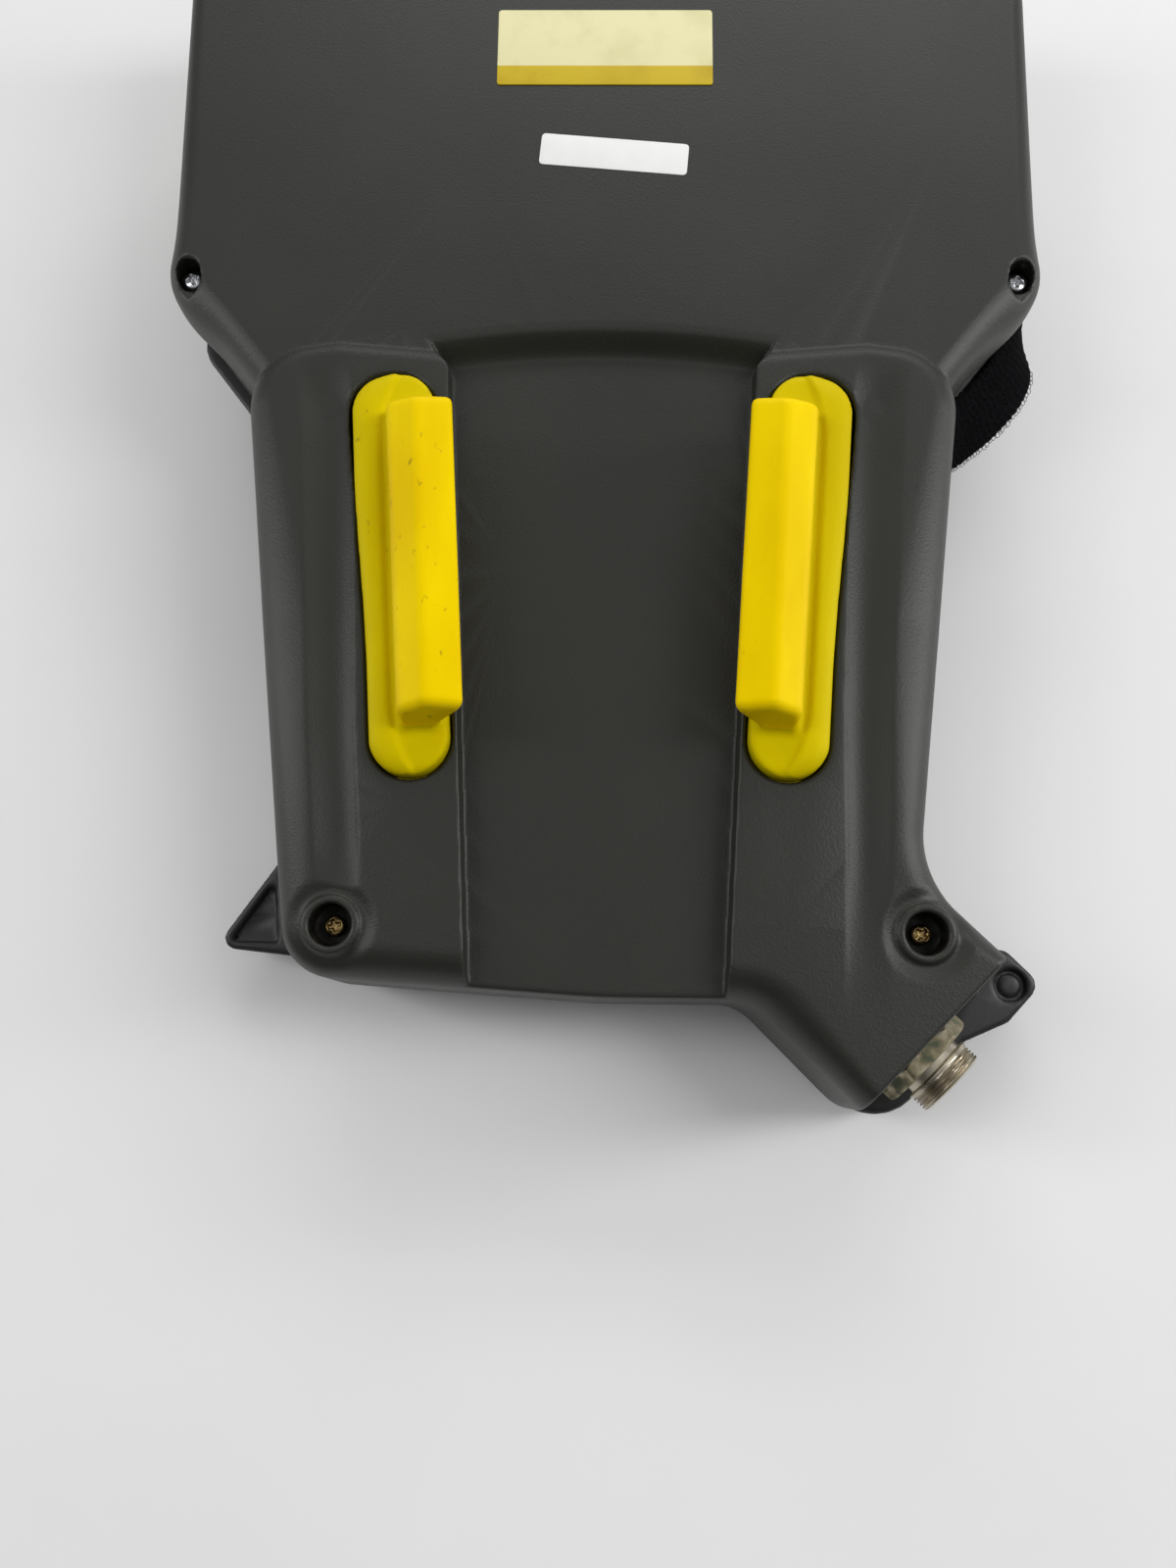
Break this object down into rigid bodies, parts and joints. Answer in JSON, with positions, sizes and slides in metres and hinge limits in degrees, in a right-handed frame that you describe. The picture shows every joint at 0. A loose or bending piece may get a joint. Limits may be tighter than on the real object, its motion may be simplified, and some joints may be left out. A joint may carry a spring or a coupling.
{
  "type": "teach pendant",
  "caption": "Hand-held robot teach pendant: two-part housing with display head, grips, enabling levers, emergency stop, selector switch, key sheet, strap and cable connector.",
  "frame": {"origin": "middle of the bounding box at the height of the emergency stop face, which is the lowest point", "axes": "+X to the right seen from behind with the head up, +Y from the grips to the display head, +Z out of the rear cover; the front face points down"},
  "size_m": [0.2637, 0.3788, 0.0965],
  "materials": {
    "cover_grain": "fine leather-like moulded grain, matte charcoal",
    "front_plastic": "matte black moulded plastic",
    "black_rubber": "dull black rubber",
    "zinc_screw": "bright zinc plate",
    "yellow_screw": "yellow passivated zinc plate",
    "display_lens": "dark glossy lens",
    "panel_metal": "plain sheet",
    "sheet_steel": "zinc plated sheet",
    "ribbon_cable": "translucent film",
    "green_board": "solder resist",
    "key_membrane": "fine textured membrane",
    "connector_metal": "worn nickel plate",
    "nut_brass": "corroded nickel over brass",
    "black_insulator": "moulded insulator",
    "gold_pin": "gold plate",
    "red_plastic": "smooth red",
    "natural_plastic": "natural acetal",
    "spring_steel": "spring wire",
    "yellow_collar": "smooth yellow",
    "black_gloss": "smooth black",
    "yellow_lever": "soft moulded lemon yellow with handling stains",
    "webbing": "woven black webbing"
  },
  "bodies": {
    "housing": {"rear_cover": "cover_grain", "front_cover": "front_plastic", "housing_gasket": "black_rubber", "corner_screws": "zinc_screw", "boss_screws": "yellow_screw", "display_window": "display_lens", "display_panel": "panel_metal", "display_frame": "sheet_steel", "display_screws": "zinc_screw", "display_cable": "ribbon_cable", "main_board": "green_board", "board_screws": "zinc_screw", "backlight_inverter": "green_board", "key_sheet": "key_membrane", "function_key_sheet": "key_membrane", "key_board": "green_board", "function_key_board": "green_board", "key_domes": "zinc_screw", "connector_shell": "connector_metal", "connector_nut": "nut_brass", "connector_gasket": "black_rubber", "connector_insert": "black_insulator", "connector_pins": "gold_pin", "estop_spring": "spring_steel", "estop_collar": "yellow_collar", "estop_barrel": "black_insulator", "estop_gasket": "black_rubber", "estop_nut": "black_insulator", "estop_contact_block": "black_insulator", "selector_bezel": "black_gloss", "selector_body": "black_insulator", "selector_nut": "zinc_screw", "lever_springs_left": "spring_steel", "lever_springs_right": "spring_steel", "lever_switch_left": "black_insulator", "lever_switch_right": "black_insulator", "lever_tray_left": "sheet_steel", "lever_tray_right": "sheet_steel", "tray_screws": "zinc_screw", "hand_strap": "webbing", "strap_washers": "black_gloss", "strap_screws": "zinc_screw"},
    "estop_plunger": {"estop_plunger": "natural_plastic"},
    "estop_button": {"estop_button": "red_plastic"},
    "selector": {"selector_knob": "black_gloss", "selector_shaft": "sheet_steel"},
    "lever_left": {"lever_left": "yellow_lever", "lever_stem_left": "natural_plastic"},
    "lever_right": {"lever_right": "yellow_lever", "lever_stem_right": "natural_plastic"}
  },
  "joints": [
    {"name": "estop_press", "type": "slide", "parent": "housing", "child": "estop_plunger", "axis": [0, 0, 1], "range_m": [0, 0.004], "stiffness_N_per_m": 6000, "springref_m": -0.005, "deforming": ["estop_spring"]},
    {"name": "estop_twist", "type": "hinge", "parent": "estop_plunger", "child": "estop_button", "pos_m": [-0.10493, 0.1374, 0.01], "axis": [0, 0, 1], "range_deg": [0, 45], "stiffness_Nm_per_rad": 0.05},
    {"name": "selector_turn", "type": "hinge", "parent": "housing", "child": "selector", "pos_m": [0.09707, 0.1554, 0.02], "axis": [0, 0, 1], "range_deg": [0, 90]},
    {"name": "lever_left_press", "type": "slide", "parent": "housing", "child": "lever_left", "axis": [0, 0, -1], "range_m": [0, 0.005], "stiffness_N_per_m": 1500, "springref_m": -0.003, "deforming": ["lever_springs_left"]},
    {"name": "lever_right_press", "type": "slide", "parent": "housing", "child": "lever_right", "axis": [0, 0, -1], "range_m": [0, 0.005], "stiffness_N_per_m": 1500, "springref_m": -0.003, "deforming": ["lever_springs_right"]}
  ]
}
